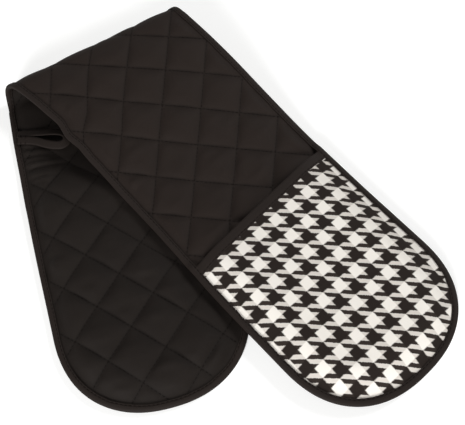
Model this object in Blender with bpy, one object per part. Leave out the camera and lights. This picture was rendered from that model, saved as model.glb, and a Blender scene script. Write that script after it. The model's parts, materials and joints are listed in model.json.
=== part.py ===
import math

import bmesh
import bpy
import numpy as np
from mathutils.geometry import delaunay_2d_cdt

# A double oven glove: one long quilted strip with a hand pocket sewn on each end.
# It lies folded over: the front half on top with its pocket upwards, the back half
# below it and fanned out, with its pocket face down on the table.
#
# Flat coordinates: s runs along the strip from the middle of the fold, positive on the
# front half and negative on the back half. t runs across it, and h stands out of it,
# towards the side that carries the pockets. All lengths are in metres.

FRONT, BACK = 1, -1

# Strip
strip_lengths = {FRONT: 0.4704, BACK: 0.3838}
half_width = 0.0900
fold_widening = 0.0024
width_run = 0.250
end_length = 0.0880
end_round_shares = {FRONT: 0.862, BACK: 0.897}
sway_sizes = {FRONT: 0.0023, BACK: -0.0027}
sway_starts = (0.020, 0.180)
sway_runs = (0.120, 0.150)

# Fold
fold_radius = 0.0150
fold_skew = math.radians(14.19)

# Cloth, wadding and binding
cloth = 0.0006
gap = 0.0003
wadding_thick = 0.0044
wadding_edge_thick = 0.0010
pocket_wadding_thick = 0.0018
pocket_wadding_edge_thick = 0.0006
binding_wall = 0.0006
binding_width = 0.0065
edge_ramp = 0.0132
merge_distance = 0.0000001

# Quilting: a square grid of stitch lines, turned against the strip
quilt_pitches = {FRONT: 0.0381, BACK: 0.0370}
quilt_angles = {FRONT: math.radians(42.5), BACK: math.radians(45.7)}
quilt_shares = {FRONT: (0.250, 0.080), BACK: (0.873, 0.573)}
quilt_fold_clear_share = 0.20
quilt_edge_clear_share = 0.167

# Pockets
pocket_depth = 0.2154
mouth_slope_shares = {FRONT: -0.05, BACK: 0.0}
band_width = 0.0130
pinch_ramp = 0.0060
hollow_heights = {FRONT: 0.0070, BACK: 0.0060}
hollow_ramp = 0.0280
mouth_lap_length = 0.0020
mouth_step_length = 0.0120

# How the front half lies on the back half
front_clearance = 0.0021
front_seat = 0.0550
front_tilt_share = 0.04
front_drop_run = 0.190
cover_ramp = 0.0250
press_share = 0.42
press_clearance = 0.0005
lie_start = 0.1120
lie_run = 0.0560

# Hanging loop of tape, sewn to the back half's outer edge
tape_width = 0.0085
tape_thickness = 0.0012
loop_place = 0.0860
loop_seam_inset = 0.0045
loop_reach = 0.0345
loop_spread = 0.0120
loop_lean_share = 0.8
loop_flat_radius = 0.0280
loop_flat_ramp = 0.0170
loop_flat_share = 0.5
loop_tip_angle = math.radians(45)

# Counts
cap_steps = 20
plain_steps = {FRONT: 13, BACK: 8}
pocket_steps = 5
fold_steps = 6
across_steps = 7
mouth_steps = 5
outline_samples = 160
loop_steps = 28

# Widths and thicknesses that follow from the layers
fold_half_width = half_width + fold_widening
edge_half = cloth + gap + wadding_edge_thick / 2
puff_half = cloth + gap + wadding_thick / 2
pocket_half = cloth + gap + pocket_wadding_thick / 2
pocket_edge_half = cloth + gap + pocket_wadding_edge_thick / 2
pinched_half = cloth + gap / 2
band_half = pinched_half + gap + binding_wall
mouth_rise = band_half - pocket_edge_half
edge_stack = edge_half + gap + max(2 * pocket_edge_half, pinched_half + band_half)
wrap = gap + binding_wall
cloth_inset = binding_wall + gap
squeeze_inset = binding_width + gap
full_inset = squeeze_inset + edge_ramp
flat_inset = squeeze_inset + hollow_ramp

# Heights that follow from the stack on the table
pressed_half = puff_half - press_share * (puff_half - edge_half)
back_rest = puff_half
fold_top = back_rest + 2 * fold_radius
pressed_stack = 2 * pocket_half + gap + 2 * pressed_half
front_rest = pressed_stack + front_clearance + puff_half

# the fold's two hinge lines lie where a quarter turn about each lays the strip out flat
fold_arc = math.pi * fold_radius
hinge_reach = fold_arc / 4
cos_skew, sin_skew = math.cos(fold_skew), math.sin(fold_skew)
cos_fan, sin_fan = math.cos(2 * fold_skew), math.sin(2 * fold_skew)


def ease(x):
    x = np.clip(x, 0.0, 1.0)
    return x * x * (3.0 - 2.0 * x)


# Outline of the strip

def width_at(s):
    return fold_half_width + (half_width - fold_half_width) * ease(abs(s) / width_run)


def sway_at(side, s):
    p = side * s
    rise = ease((p - sway_starts[0]) / sway_runs[0])
    fall = ease((p - sway_starts[1]) / sway_runs[1])
    return sway_sizes[side] * rise * (1.0 - fall)


def along_fold(s, t):
    # distance from the fold's middle line, square to it
    return s * cos_skew - t * sin_skew


def fold_point(a, edge, inset):
    # the point on a line parallel to the fold that lies this far inside an edge
    t = edge * fold_half_width
    t = edge * (width_at((a + t * sin_skew) / cos_skew) - inset)
    return (a + t * sin_skew) / cos_skew, t


def cap_point(side, angle, inset):
    # superellipse end, with the point moved inwards along its normal; a share of 1 is an ellipse
    round_share = end_round_shares[side]
    power = 2 / round_share
    x = abs(math.cos(angle)) ** round_share
    y = math.copysign(abs(math.sin(angle)) ** round_share, math.sin(angle))
    nx = x ** (power - 1) / end_length
    ny = math.copysign(abs(y) ** (power - 1), y) / half_width
    size = math.hypot(nx, ny)
    p = strip_lengths[side] - end_length + x * end_length - inset * nx / size
    t = y * half_width - inset * ny / size
    return side * p, side * t


def cap_angles(side, steps):
    # angles of stops that divide the round end into equal lengths
    fine = np.linspace(-math.pi / 2, math.pi / 2, outline_samples + 1)
    points = np.array([cap_point(side, angle, 0.0) for angle in fine])
    runs = np.hypot(*np.diff(points, axis=0).T)
    length = np.concatenate(([0.0], np.cumsum(runs)))
    return np.interp(np.linspace(0.0, length[-1], steps + 1), length, fine)


def mouth_at(side, t):
    return side * (strip_lengths[side] - pocket_depth) + mouth_slope_shares[side] * t


def cut_at(side):
    # the halves stop half a gap from the fold's own piece
    return side * (fold_arc / 2 + gap / 2)


def run_stops(side, edge):
    # stops on one long edge, from the fold to the round end
    begin = side * fold_point(cut_at(side), edge, 0.0)[0]
    mouth = side * mouth_at(side, edge * half_width)
    plain = np.linspace(begin, mouth - mouth_step_length, plain_steps[side] + 1)[1:]
    pocket = np.linspace(mouth - mouth_lap_length, strip_lengths[side] - end_length, pocket_steps + 1)[:-1]
    stops = [("run", edge, side * p, False) for p in plain]
    return stops + [("run", edge, side * p, True) for p in pocket]


def outline_stops(side):
    # counterclockwise round one half, from the cut at the fold and back to it
    first, last = -side, side
    cap = [("cap", 0, angle, True) for angle in cap_angles(side, cap_steps)]
    start = [("cut", first, 0.0, False)] + run_stops(side, first)
    finish = run_stops(side, last)[::-1] + [("cut", last, 0.0, False)]
    return start + cap + finish


def stop_point(side, stop, inset):
    kind, edge, value, _ = stop
    if kind == "cut":
        return fold_point(cut_at(side), edge, inset)
    if kind == "cap":
        return cap_point(side, value, inset)
    return value, edge * (width_at(value) - inset)


def outline_samples_of(side):
    # a fine outline of one half, to measure how far a point lies inside it
    begin = strip_lengths[side] - end_length
    runs = np.linspace(-fold_arc, begin, outline_samples)
    angles = np.linspace(-math.pi / 2, math.pi / 2, outline_samples)
    right = [(side * p, -side * width_at(p)) for p in runs]
    cap = [cap_point(side, angle, 0.0) for angle in angles]
    left = [(side * p, side * width_at(p)) for p in runs[::-1]]
    return np.array(right + cap + left)


outlines = {side: outline_samples_of(side) for side in (FRONT, BACK)}


def inset_at(side, s, t):
    line = outlines[side]
    start, run = line[:-1], np.diff(line, axis=0)
    size = np.maximum((run ** 2).sum(axis=1), np.finfo(float).tiny)
    point = np.stack([s, t], axis=-1)[:, None, :] - start[None]
    share = np.clip((point * run).sum(axis=2) / size, 0.0, 1.0)
    return np.hypot(*np.moveaxis(point - share[..., None] * run, 2, 0)).min(axis=1)


# Thicknesses across the strip and the pockets

def edge_rise(inset):
    return ease((inset - squeeze_inset) / edge_ramp)


def puff_at(side, s, t):
    # 0 on the stitch lines and 1 in the middle of each quilted square
    angle, pitch = quilt_angles[side], quilt_pitches[side]
    first = (s * math.cos(angle) + t * math.sin(angle)) / pitch - quilt_shares[side][0]
    second = (t * math.cos(angle) - s * math.sin(angle)) / pitch - quilt_shares[side][1]
    return np.sqrt(abs(np.sin(math.pi * first) * np.sin(math.pi * second)))


def back_plan(s, t):
    t = t + sway_at(BACK, s)
    return t * sin_fan - s * cos_fan, t * cos_fan + s * sin_fan


def cover_at(s, t):
    # 1 where the front half lies over the back half, 0 where that shows
    return ease((back_plan(s, t)[1] + half_width + cover_ramp) / cover_ramp)


def lie_at(s):
    # 0 where the back half lies on the table, 1 where it lies on its own pocket
    return ease((-s - lie_start) / lie_run)


def press_at(side, s, t):
    if side == FRONT:
        return np.ones_like(s)
    return 1.0 - press_share * cover_at(s, t) * lie_at(s)


def loop_flat_at(side, s, t):
    # the quilting is gathered flat round the loop's seam
    if side == FRONT:
        return np.zeros_like(s)
    middle = half_width - loop_seam_inset - loop_reach / 2
    distance = np.hypot(s + loop_place + loop_spread / 2, t + middle)
    return loop_flat_share * (1.0 - ease((distance - loop_flat_radius) / loop_flat_ramp))


def strip_half(side, s, t):
    swell = (puff_half - edge_half) * edge_rise(inset_at(side, s, t)) * press_at(side, s, t)
    return edge_half + swell * puff_at(side, s, t) * (1.0 - loop_flat_at(side, s, t))


def front_middle(s, t):
    # middle of the front half's strip, which comes down from the fold onto the back half
    past_edge = s * sin_fan + t * cos_fan - half_width
    lying = front_rest - front_tilt_share * (past_edge + front_seat)
    drop = ease((along_fold(s, t) - fold_arc / 2) / front_drop_run)
    return fold_top + drop * (lying - fold_top)


def hollow_at(side, s, t):
    open_height = hollow_heights[side] * np.ones_like(s)
    if side == BACK:
        x, y = back_plan(s, t)
        room = front_middle(x, y) - puff_half - press_clearance - pressed_stack
        pressed = np.clip(room, 0.0, open_height)
        open_height = open_height + cover_at(s, t) * (pressed - open_height)
    return open_height * ease((inset_at(side, s, t) - squeeze_inset) / hollow_ramp)


def mouth_share(side, s, t):
    # 0 under the band at the pocket's mouth, 1 where the pocket has its full thickness
    from_mouth = side * (s - mouth_at(side, t))
    return np.clip((from_mouth - band_width - gap) / pinch_ramp, 0.0, 1.0)


def pocket_middle(side, s, t):
    rise = edge_rise(inset_at(side, s, t))
    swell = (puff_half - edge_half) * press_at(side, s, t) + pocket_half - pocket_edge_half
    lowest = edge_half + gap + pocket_edge_half
    lift = mouth_rise * (1.0 - mouth_share(side, s, t))
    return lowest + swell * rise + hollow_at(side, s, t) + lift


def pocket_half_at(side, s, t):
    full = pocket_edge_half + (pocket_half - pocket_edge_half) * edge_rise(inset_at(side, s, t))
    return pinched_half + (full - pinched_half) * mouth_share(side, s, t)


def back_middle(s, t):
    # the back half's strip rises from the table onto its pocket, whose face lies on the table
    rise = edge_rise(inset_at(BACK, s, t))
    share = mouth_share(BACK, s, t)
    outer = pocket_middle(BACK, s, t) + pocket_half_at(BACK, s, t)
    outer = outer + (wrap + binding_wall / 2) * (1.0 - rise * share)
    return back_rest + lie_at(s) * (outer - back_rest)


# Where a point of the flat strip lies in the folded glove

def place(zone, s, t, h):
    if zone == FRONT:
        return np.stack([s, t + sway_at(FRONT, s), front_middle(s, t) + h], axis=-1)
    if zone == BACK:
        x, y = back_plan(s, t)
        return np.stack([x, y, back_middle(s, t) - h], axis=-1)
    turn = (along_fold(s, t) + fold_arc / 2) / fold_radius
    across = fold_arc / 2 - (fold_radius + h) * np.sin(turn)
    b = s * sin_skew + t * cos_skew
    z = back_rest + fold_radius - (fold_radius + h) * np.cos(turn)
    return np.stack([across * cos_skew + b * sin_skew, b * cos_skew - across * sin_skew, z], axis=-1)


# Meshes

def triangulate(lines, points):
    # the first line is the closed outline; the others are open lines to keep as edges
    index, corners, edges = {}, [], []

    def corner(point):
        key = tuple(round(float(value) / merge_distance) for value in point)
        if key not in index:
            index[key] = len(corners)
            corners.append((float(point[0]), float(point[1])))
        return index[key]

    outline = [corner(point) for point in lines[0]]
    for line in lines[1:]:
        chain = [corner(point) for point in line]
        edges += [(i, j) for i, j in zip(chain, chain[1:]) if i != j]
    for point in points:
        corner(point)
    result = delaunay_2d_cdt(corners, edges, [outline], 1, merge_distance)
    plan = np.array([(v.x, v.y) for v in result[0]])
    triangles = np.array(result[2])
    return plan, triangles


def slab(zone, plan, triangles, low, high):
    # closed solid between two heights over the same triangles
    used, triangles = np.unique(triangles, return_inverse=True)
    triangles = triangles.reshape(-1, 3)
    s, t = plan[used].T
    top = place(zone, s, t, high[used])
    bottom = place(zone, s, t, low[used])
    count = len(used)
    edges = {(i, j) for tri in triangles for i, j in zip(tri, np.roll(tri, -1))}
    faces = [tuple(tri) for tri in triangles]
    faces += [tuple(tri[::-1] + count) for tri in triangles]
    for i, j in edges:
        if (j, i) not in edges:
            faces += [(j, i, i + count), (j, i + count, j + count)]
    return np.concatenate([top, bottom]), faces


def sweep(sections):
    # closed tube through sections with the same number of points
    size = len(sections[0])
    faces = [tuple(range(size))]
    for k in range(len(sections) - 1):
        for i in range(size):
            a, b = k * size + i, k * size + (i + 1) % size
            faces += [(a, b, b + size), (a, b + size, a + size)]
    faces.append(tuple((len(sections) - 1) * size + i for i in range(size)))
    return np.concatenate(sections), faces


def u_section(width, low, high):
    # a folded tape round an edge: (distance inside the edge, height) of each corner
    chamfer = binding_wall / 2
    return [
        (width, high + wrap), (chamfer, high + wrap), (0.0, high + wrap - chamfer),
        (0.0, low - wrap + chamfer), (chamfer, low - wrap), (width, low - wrap),
        (width, low - gap), (binding_wall, low - gap),
        (binding_wall, high + gap), (width, high + gap),
    ]


# Strip

def cut_row(side):
    # points across the strip where a half stops at the fold
    insets = (cloth_inset, squeeze_inset, full_inset)
    near = [fold_point(cut_at(side), side, inset) for inset in insets]
    far = [fold_point(cut_at(side), -side, inset) for inset in insets]
    inner = np.linspace(near[-1], far[-1], across_steps + 1)[1:-1]
    return near + [tuple(point) for point in inner] + far[::-1]


def quilt_points(side):
    # the crossings of the stitch lines, and the middles between them
    angle, pitch = quilt_angles[side], quilt_pitches[side]
    reach = math.ceil(2 * (strip_lengths[side] + half_width) / pitch)
    halves = np.arange(-reach, reach + 1) / 2
    first, second = np.meshgrid(halves + quilt_shares[side][0], halves + quilt_shares[side][1])
    s = (first * math.cos(angle) - second * math.sin(angle)).ravel() * pitch
    t = (first * math.sin(angle) + second * math.cos(angle)).ravel() * pitch
    inside = (side * s < strip_lengths[side]) & (abs(t) < half_width)
    inside &= side * along_fold(s, t) > fold_arc / 2 + quilt_fold_clear_share * pitch
    s, t = s[inside], t[inside]
    clear = inset_at(side, s, t) > full_inset + quilt_edge_clear_share * pitch
    return list(zip(s[clear], t[clear]))


def half_plan(side):
    stops = outline_stops(side)
    outline = [stop_point(side, stop, cloth_inset) for stop in stops]
    row = cut_row(side)
    lines = [outline + row[1:-1]]
    lines += [[stop_point(side, stop, inset) for stop in stops] for inset in (squeeze_inset, full_inset)]
    return triangulate(lines, quilt_points(side))


def fold_plan():
    insets = (cloth_inset, squeeze_inset, full_inset)
    rows = []
    for a in np.linspace(cut_at(BACK) + gap, cut_at(FRONT) - gap, fold_steps + 1):
        low = [fold_point(a, -1, inset) for inset in insets]
        high = [fold_point(a, 1, inset) for inset in insets]
        inner = np.linspace(low[-1], high[-1], across_steps + 1)[1:-1]
        rows.append(low + [tuple(point) for point in inner] + high[::-1])
    size = len(rows[0])
    triangles = []
    for k in range(fold_steps):
        for i in range(size - 1):
            a, b = k * size + i, (k + 1) * size + i
            triangles += [(a, b, b + 1), (a, b + 1, a + 1)]
    return np.array([point for row in rows for point in row]), np.array(triangles)


def strip_layers(zone, plan, triangles):
    # outer cloth, wadding and inner cloth, one over the other
    side = zone if zone else FRONT
    half = strip_half(side, *plan.T)
    return {
        "outer_cloth": slab(zone, plan, triangles, half - cloth, half),
        "wadding": slab(zone, plan, triangles, cloth + gap - half, half - cloth - gap),
        "inner_cloth": slab(zone, plan, triangles, -half, cloth - half),
    }


# Pockets

def mouth_row(side, from_mouth, insets):
    # points across the pocket, this far inside its mouth
    t_values = [-side * (half_width - inset) for inset in insets]
    inner = np.linspace(t_values[-1], -t_values[-1], mouth_steps)[1:-1]
    t_values = t_values + list(inner) + [-t for t in t_values[::-1]]
    return [(mouth_at(side, t) + side * from_mouth, t) for t in t_values]


def pocket_plan(side):
    insets = (cloth_inset, squeeze_inset, full_inset, flat_inset)
    depths = (cloth_inset, band_width + gap, band_width + gap + pinch_ramp)
    rows = [mouth_row(side, depth, insets) for depth in depths]
    clear = depths[-1] + pinch_ramp
    stops = [stop for stop in outline_stops(side) if stop[0] == "cap" or (
        stop[0] == "run" and side * (stop[2] - mouth_at(side, stop[1] * half_width)) > clear)]
    lines = []
    for k, inset in enumerate(insets):
        start = [row[k] for row in rows]
        finish = [row[-1 - k] for row in rows[::-1]]
        lines.append(start + [stop_point(side, stop, inset) for stop in stops] + finish)
    lines[0] = lines[0] + rows[0][-2:0:-1]
    return triangulate(lines + rows[1:], [])


def pocket_layers(side):
    plan, triangles = pocket_plan(side)
    s, t = plan.T
    middle, half = pocket_middle(side, s, t), pocket_half_at(side, s, t)
    centre = plan[triangles].mean(axis=1)
    start = band_width + gap + pinch_ramp
    filled = side * (centre[:, 0] - mouth_at(side, centre[:, 1])) > start
    return {
        "pocket_cloth": slab(side, plan, triangles, middle + half - cloth, middle + half),
        "pocket_wadding": slab(side, plan, triangles[filled], middle - half + cloth + gap,
                               middle + half - cloth - gap),
        "pocket_lining": slab(side, plan, triangles, middle - half, middle - half + cloth),
    }


def mouth_band(side):
    # a tape folded over the pocket's free edge, between the bindings
    corners = u_section(band_width, -pinched_half, pinched_half)
    sections = []
    for t in [t for _, t in mouth_row(side, 0.0, (squeeze_inset, full_inset, flat_inset))]:
        depth, height = np.array(corners).T
        across = np.full_like(depth, t)
        s = mouth_at(side, t) + side * depth
        sections.append(place(side, s, across, pocket_middle(side, s, across) + height))
    return sweep(sections)


# Binding round the edge

def half_binding(side):
    sections = []
    for stop in outline_stops(side):
        corners = u_section(binding_width, -edge_half, edge_stack if stop[3] else edge_half)
        points = np.array([stop_point(side, stop, inset) for inset, _ in corners])
        heights = np.array([height for _, height in corners])
        sections.append(place(side, *points.T, heights))
    return sweep(sections)


def fold_binding(edge):
    corners = u_section(binding_width, -edge_half, edge_half)
    sections = []
    for a in np.linspace(cut_at(BACK) + gap, cut_at(FRONT) - gap, fold_steps + 1):
        points = np.array([fold_point(a, edge, inset) for inset, _ in corners])
        heights = np.array([height for _, height in corners])
        sections.append(place(0, *points.T, heights))
    return sweep(sections)


# Hanging loop

def loop_seam():
    # where the loop turns: on the binding of the back half's outer edge
    return -loop_place, loop_seam_inset - width_at(loop_place)


def loop_height():
    return back_rest + edge_half + wrap + gap + tape_thickness / 2


def loop_curve(angle, offset):
    # a teardrop of tape that leans away from the fold, with the point moved sideways
    reach = loop_reach - tape_width / 2

    def point(angle):
        u = (1.0 - math.cos(angle)) / 2
        return np.array([reach * u, u * loop_spread * (loop_lean_share - math.sin(angle))])

    step = math.pi / outline_samples
    run = point(angle + step) - point(angle - step)
    run /= np.linalg.norm(run)
    return point(angle) + offset * np.array([run[1], -run[0]])


def outside(ring, points):
    # true for the points from which a straight ray crosses the ring an even number of times
    x, y = points.T
    crossings = np.zeros(len(points), dtype=int)
    for (x0, y0), (x1, y1) in zip(ring, ring[1:] + ring[:1]):
        if y0 != y1:
            spans = (y > min(y0, y1)) & (y <= max(y0, y1))
            crossings += spans & (x0 + (y - y0) * (x1 - x0) / (y1 - y0) > x)
    return crossings % 2 == 0


def hanging_loop():
    s0, t0 = loop_seam()
    half = tape_width / 2
    angles = np.linspace(0.0, 2 * math.pi, loop_steps + 1)
    outer = [loop_curve(angle, half) for angle in angles[1:-1]]
    outer = [point for point in outer if point[0] > gap]
    outer = [np.array([0.0, -half])] + outer + [np.array([0.0, half])]
    # the hole between the strands starts where they have room between them
    apart = abs(np.sin(angles)) * (1.0 - np.cos(angles)) * loop_spread > tape_width + tape_thickness
    apart |= abs(angles - math.pi) < loop_tip_angle
    inner = [loop_curve(angle, -half) for angle in angles[apart]]
    plan, triangles = triangulate([outer, inner + inner[:1]], [])
    triangles = triangles[outside(inner, plan[triangles].mean(axis=1))]
    flat = np.stack([s0 - plan[:, 1], t0 + plan[:, 0]], axis=-1)
    lift = back_middle(*flat.T) - loop_height()
    return slab(BACK, flat, triangles, lift - tape_thickness / 2, lift + tape_thickness / 2)


# Objects

def fabric(name, colour, roughness):
    material = bpy.data.materials.new(name)
    material.use_nodes = True
    surface = material.node_tree.nodes["Principled BSDF"]
    surface.inputs["Base Color"].default_value = (*colour, 1.0)
    surface.inputs["Roughness"].default_value = roughness
    surface.inputs["Metallic"].default_value = 0.0
    return material


def hinge(name, point, parent=None):
    empty = bpy.data.objects.new(name, None)
    empty.empty_display_size = band_width
    bpy.context.scene.collection.objects.link(empty)
    empty.parent = parent
    empty.location = point - (parent.matrix_world.translation if parent else np.zeros(3))
    bpy.context.view_layer.update()
    return empty


def add_piece(name, shape, material, parent):
    points, faces = shape
    mesh = bpy.data.meshes.new(name)
    origin = np.array(parent.matrix_world.translation) if parent else np.zeros(3)
    mesh.from_pydata((points - origin).tolist(), [], [tuple(int(i) for i in face) for face in faces])
    body = bmesh.new()
    body.from_mesh(mesh)
    bmesh.ops.recalc_face_normals(body, faces=body.faces)
    body.to_mesh(mesh)
    body.free()
    mesh.materials.append(material)
    piece = bpy.data.objects.new(name, mesh)
    bpy.context.scene.collection.objects.link(piece)
    piece.parent = parent


def main():
    for old in list(bpy.data.objects):
        bpy.data.objects.remove(old)

    black = (0.023, 0.018, 0.014)
    finishes = {
        "outer_cloth": ("black quilted cotton", black, 0.85),
        "inner_cloth": ("black cotton", black, 0.85),
        "wadding": ("white wadding", (0.75, 0.74, 0.70), 0.95),
        "pocket_cloth": ("black and white check cotton", (0.33, 0.32, 0.30), 0.88),
        "pocket_wadding": ("white pocket wadding", (0.75, 0.74, 0.70), 0.95),
        "pocket_lining": ("black pocket lining", black, 0.9),
        "mouth_band": ("black band tape", (0.017, 0.014, 0.012), 0.8),
        "binding": ("black binding tape", (0.017, 0.014, 0.012), 0.8),
        "hanging_loop": ("black loop tape", (0.020, 0.017, 0.014), 0.8),
    }
    materials = {key: fabric(*finish) for key, finish in finishes.items()}

    bodies = {"back": {}, "fold": {}, "front": {}}
    for side, body in ((BACK, "back"), (FRONT, "front")):
        bodies[body].update(strip_layers(side, *half_plan(side)))
        bodies[body].update(pocket_layers(side))
        bodies[body]["mouth_band"] = mouth_band(side)
        bodies[body]["binding"] = half_binding(side)
    bodies["fold"].update(strip_layers(0, *fold_plan()))
    bodies["fold"]["binding_left"] = fold_binding(-1)
    bodies["fold"]["binding_right"] = fold_binding(1)
    loop = hanging_loop()

    # the origin is on the table, under the middle of the glove's bounding box
    everything = [points for body in bodies.values() for points, _ in body.values()] + [loop[0]]
    corners = np.concatenate(everything)
    centre = (corners.min(axis=0) + corners.max(axis=0)) / 2
    shift = np.array([centre[0], centre[1], 0.0])

    low = back_rest + fold_radius - hinge_reach
    on_fold = np.array([hinge_reach * cos_skew, -hinge_reach * sin_skew, low]) - shift
    lower = hinge("fold_lower_hinge", on_fold)
    upper = hinge("fold_upper_hinge", on_fold + (0.0, 0.0, 2 * hinge_reach), lower)
    s0, t0 = loop_seam()
    seam = np.array([*back_plan(s0, t0), loop_height()]) - shift
    turn = hinge("loop_hinge", seam)

    parents = {"back": None, "fold": lower, "front": upper}
    for body, pieces in bodies.items():
        for key, (points, faces) in pieces.items():
            finish = "binding" if key.startswith("binding") else key
            add_piece(f"{body}_{key}", (points - shift, faces), materials[finish], parents[body])
    add_piece("hanging_loop", (loop[0] - shift, loop[1]), materials["hanging_loop"], turn)


main()
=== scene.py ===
import json
import math

import bpy
import numpy as np
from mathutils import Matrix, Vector
from mathutils.geometry import delaunay_2d_cdt


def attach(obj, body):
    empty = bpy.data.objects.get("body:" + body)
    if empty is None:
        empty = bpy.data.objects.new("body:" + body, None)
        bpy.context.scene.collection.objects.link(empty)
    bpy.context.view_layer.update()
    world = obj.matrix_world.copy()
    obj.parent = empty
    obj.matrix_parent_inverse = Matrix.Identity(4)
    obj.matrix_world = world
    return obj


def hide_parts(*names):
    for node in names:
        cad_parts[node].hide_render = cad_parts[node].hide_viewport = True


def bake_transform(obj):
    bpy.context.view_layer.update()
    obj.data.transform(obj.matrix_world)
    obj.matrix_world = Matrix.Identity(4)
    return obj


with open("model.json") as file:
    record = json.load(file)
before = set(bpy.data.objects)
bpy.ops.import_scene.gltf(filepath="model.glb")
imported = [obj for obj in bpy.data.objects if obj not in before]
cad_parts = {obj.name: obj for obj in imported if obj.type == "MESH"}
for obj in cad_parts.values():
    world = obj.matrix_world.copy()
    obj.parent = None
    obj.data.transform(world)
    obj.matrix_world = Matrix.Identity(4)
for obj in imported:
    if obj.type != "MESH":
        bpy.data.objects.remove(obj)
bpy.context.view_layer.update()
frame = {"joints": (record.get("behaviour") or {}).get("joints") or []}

# Double oven glove. Flat coordinates, in metres: s runs along the strip from the middle of
# the fold (front half positive, back half negative), t across it, and h out of it towards
# the side with the pockets.
front, back = 1, -1

strip = {
    "length": {front: 0.4704, back: 0.3838},
    "halfWidth": 0.0900,
    "foldHalfWidth": 0.0924,
    "widthRun": 0.250,
    "endLength": 0.0880,
    "endRound": {front: 0.862, back: 0.897},
    "sway": {front: 0.0023, back: -0.0027},
    "swayRise": (0.020, 0.120),
    "swayFall": (0.180, 0.150),
    "endSamples": 721,
}
layers = {
    "cloth": 0.0006,
    "gap": 0.0003,
    "wadding": 0.0044,
    "waddingEdge": 0.0010,
    "pocketWadding": 0.0018,
    "pocketWaddingEdge": 0.0006,
    "tape": 0.0006,
    "bindingWidth": 0.0065,
    "edgeRamp": 0.0132,
}
lay = {
    "clearance": 0.0021,
    "seat": 0.0550,
    "tilt": 0.04,
    "dropRun": 0.190,
    "coverRamp": 0.0250,
    "pastFold": (0.010, 0.030),
    "freeRamp": 0.0340,
    "press": 0.42,
    "pressClearance": 0.0005,
    "lieStart": 0.1120,
    "lieRun": 0.0560,
}
pocket = {
    "depth": 0.2154,
    "slope": {front: -0.05, back: 0.0},
    "bandWidth": 0.0103,
    "pinchRamp": 0.0060,
    "hollow": {front: 0.0070, back: 0.0060},
    "hollowRamp": 0.0280,
    "mouthDip": 0.0026,
    "dipRun": 0.045,
    "shade": (0.002, 0.010),    # where the strip's crowns sink in front of the mouth
    "spacing": 0.0021,
    "ringSpacing": 0.0022,
    "ringSteps": (-0.0004, 0.0020),
    "mouthPoints": 91,
    "clear": {"mouth": 0.0012, "ring": 0.0010, "band": 0.0016, "ramp": 0.0008},
    "waves": ((0.0006, 0.045, 31), (0.0003, 0.020, 32)),    # height, size and seed
}
quilt = {
    "pitch": {front: 0.0381, back: 0.0370},
    "angle": {front: math.radians(42.5), back: math.radians(45.7)},
    "start": {front: (0.250, 0.080), back: (0.873, 0.573)},
    "joinShift": (1, 0),
    "joinRun": 0.115,
    "crease": 0.11,
    "fullness": 2.6,
    "steepness": 1.05,
    "edgeRun": 0.006,
    "foldLoss": 0.45,
    "ripple": (0.00010, 0.013, 5),
    "steps": 22,
    "reach": 1.2,                   # how far the grid of points goes, as a share of the length
    "ringSpacing": 0.0022,
    "ringSteps": (-0.0004, 0.0016, 0.0036),
    "rowSpacing": 0.0018,
    "rowSteps": (0.0, 0.0003, 0.0010),
    "clear": {"row": 0.0018, "points": 0.0019, "ring": 0.0010},
}
tiny = 1e-6

# The fold's place, turn and radius come from the two hinge lines of the frame
joints = {joint["name"]: joint for joint in frame["joints"]}
foldLow = np.array(joints["fold_lower"]["pos_m"])
foldHigh = np.array(joints["fold_upper"]["pos_m"])
skew = math.atan2(-joints["fold_lower"]["axis"][0], -joints["fold_lower"]["axis"][1])
radius = (foldHigh[2] - foldLow[2]) * 2 / math.pi
foldArc = math.pi * radius
cosSkew, sinSkew = math.cos(skew), math.sin(skew)
cosFan, sinFan = math.cos(2 * skew), math.sin(2 * skew)
foldMiddle = np.array([foldLow[0] - foldArc / 4 * cosSkew, foldLow[1] + foldArc / 4 * sinSkew, 0.0])

edgeHalf = layers["cloth"] + layers["gap"] + layers["waddingEdge"] / 2
puffHalf = layers["cloth"] + layers["gap"] + layers["wadding"] / 2
pocketHalf = layers["cloth"] + layers["gap"] + layers["pocketWadding"] / 2
pocketEdgeHalf = layers["cloth"] + layers["gap"] + layers["pocketWaddingEdge"] / 2
pinchedHalf = layers["cloth"] + layers["gap"] / 2
bandHalf = pinchedHalf + layers["gap"] + layers["tape"]
wrap = layers["gap"] + layers["tape"]
edgeStack = edgeHalf + layers["gap"] + max(2 * pocketEdgeHalf, pinchedHalf + bandHalf)
clothInset = wrap + layers["gap"]
tableClear = 0.0002
squeezeInset = layers["bindingWidth"] + layers["gap"]
foldTop = puffHalf + 2 * radius
pressedStack = 2 * pocketHalf + layers["gap"] + 2 * (puffHalf - lay["press"] * (puffHalf - edgeHalf))
frontRest = pressedStack + lay["clearance"] + puffHalf


def ease(x):
    x = np.clip(x, 0.0, 1.0)
    return x * x * (3.0 - 2.0 * x)


noiseTable = {"size": 256, "shift": (77.3, 91.7)}


def softNoise(x, y, size, seed):
    # smooth random values between -1 and 1, about one per size
    count = noiseTable["size"]
    values = np.random.default_rng(seed).uniform(-1.0, 1.0, (count, count))
    x, y = (np.asarray(axis) / size + shift for axis, shift in zip((x, y), noiseTable["shift"]))
    i, j = np.floor(x).astype(int), np.floor(y).astype(int)
    u, v = ease(x - i), ease(y - j)
    low, high = (values[i % count, k % count] * (1 - u) + values[(i + 1) % count, k % count] * u
                 for k in (j, j + 1))
    return low * (1 - v) + high * v


def cubicWeights(x):
    # shares of four points in a row, for a smooth curve between the middle two
    return (-0.5 * x ** 3 + x ** 2 - 0.5 * x, 1.5 * x ** 3 - 2.5 * x ** 2 + 1,
            -1.5 * x ** 3 + 2 * x ** 2 + 0.5 * x, 0.5 * x ** 3 - 0.5 * x ** 2)


def unit(vectors):
    return vectors / np.linalg.norm(vectors, axis=1, keepdims=True)


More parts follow.
